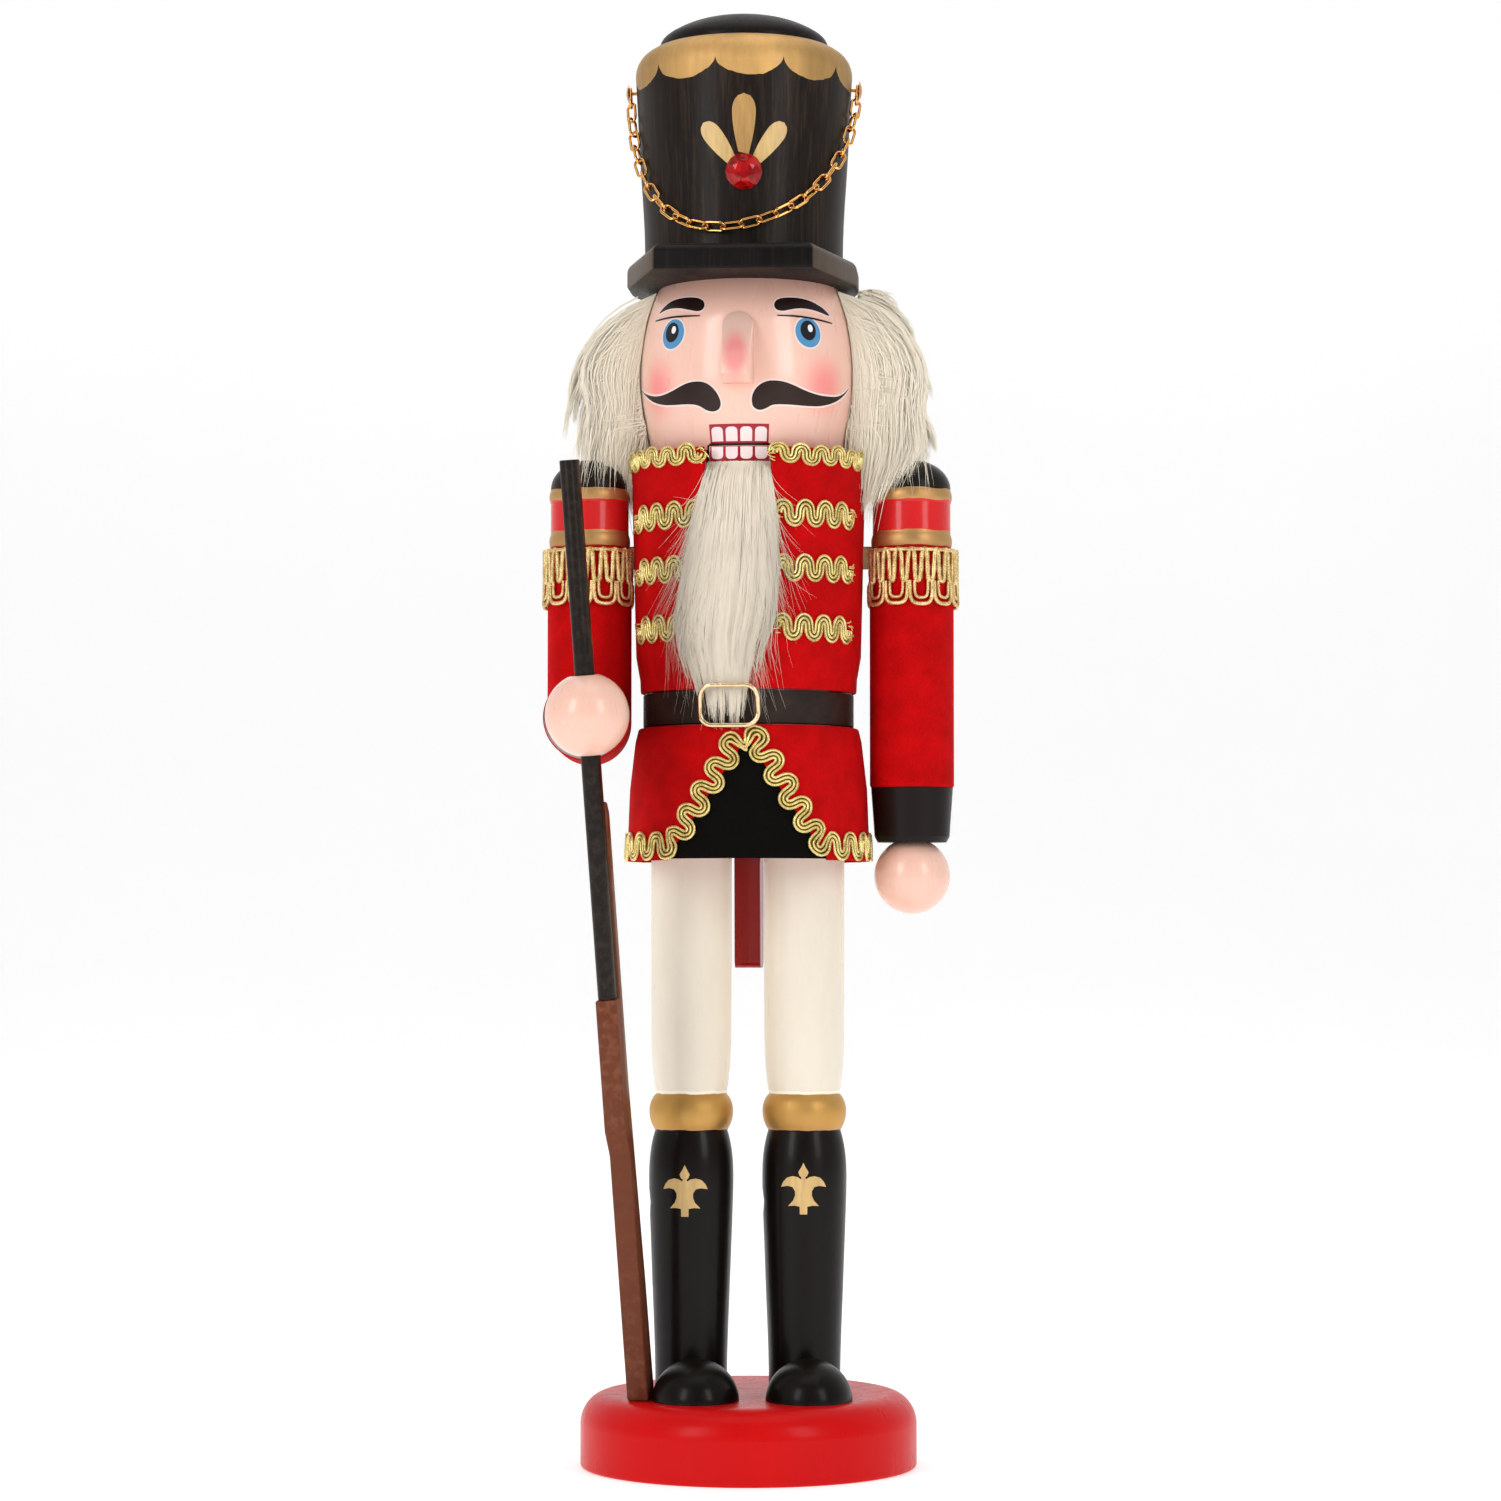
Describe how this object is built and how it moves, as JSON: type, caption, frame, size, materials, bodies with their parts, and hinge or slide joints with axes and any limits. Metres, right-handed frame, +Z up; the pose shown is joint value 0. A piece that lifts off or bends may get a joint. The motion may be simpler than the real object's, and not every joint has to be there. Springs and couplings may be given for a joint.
{
  "type": "nutcracker figure",
  "caption": "Standing wooden toy soldier nutcracker in a felt coat with a tall hat, fur hair and beard, a rifle in its hand, a hinged jaw worked by a lever at its back, and a round base.",
  "frame": {"origin": "centre of the round base's underside", "axes": "+Z up, the figure faces -Y, and its right hand with the rifle is on the -X side"},
  "size_m": [0.1087, 0.1011, 0.3786],
  "materials": {
    "red_gloss_paint": "gloss",
    "cream_gloss_paint": "gloss",
    "skin_paint": "gloss",
    "black_paint": "satin",
    "dark_red_paint": "satin",
    "brown_paint": "satin",
    "bare_wood": "matte",
    "red_felt": "matte",
    "black_felt": "matte",
    "gold_braid": "satin",
    "cream_fur": "matte",
    "belt_leather": "satin",
    "gold_metal": "polished",
    "pin_steel": "satin",
    "red_stone": "gloss"
  },
  "bodies": {
    "figure": {"base_disc": "red_gloss_paint", "leg_dowels": "bare_wood", "leg_right": "cream_gloss_paint", "leg_left": "cream_gloss_paint", "toe_cap_right": "black_paint", "toe_cap_left": "black_paint", "body_block": "skin_paint", "pivot_pin": "pin_steel", "nose": "skin_paint", "hair": "cream_fur", "coat_chest": "red_felt", "coat_skirt": "red_felt", "skirt_panel": "black_felt", "skirt_braid": "gold_braid", "frog_braids": "gold_braid", "collar_braid": "gold_braid", "belt": "belt_leather", "buckle": "gold_metal", "shoulder_dowels": "bare_wood", "hand_dowels": "bare_wood", "arm_left": "black_paint", "upper_arm_right": "black_paint", "forearm_right": "black_paint", "sleeve_left": "red_felt", "sleeve_right": "red_felt", "epaulet_fringe_left": "gold_braid", "epaulet_fringe_right": "gold_braid", "hand_left": "skin_paint", "hand_right": "skin_paint", "rifle_barrel": "black_paint", "rifle_stock": "brown_paint", "hat_dowel": "bare_wood", "hat_brim": "black_paint", "hat_crown": "black_paint", "hat_jewel": "red_stone", "chain_posts": "gold_metal"},
    "jaw": {"jaw_block": "skin_paint", "jaw_lever": "dark_red_paint", "beard": "cream_fur"},
    "chain": {"hat_chain": "gold_metal"}
  },
  "joints": [
    {"name": "jaw_hinge", "type": "hinge", "parent": "figure", "child": "jaw", "pos_m": [0, 0, 0.244], "axis": [0.9954, -0.0958, 0], "range_deg": [0, 20], "deforming": ["beard"]},
    {"name": "chain_swing", "type": "hinge", "parent": "figure", "child": "chain", "pos_m": [-0.0012, 0, 0.359], "axis": [0.9976, -0.0698, 0], "range_deg": [-60, 0]}
  ]
}
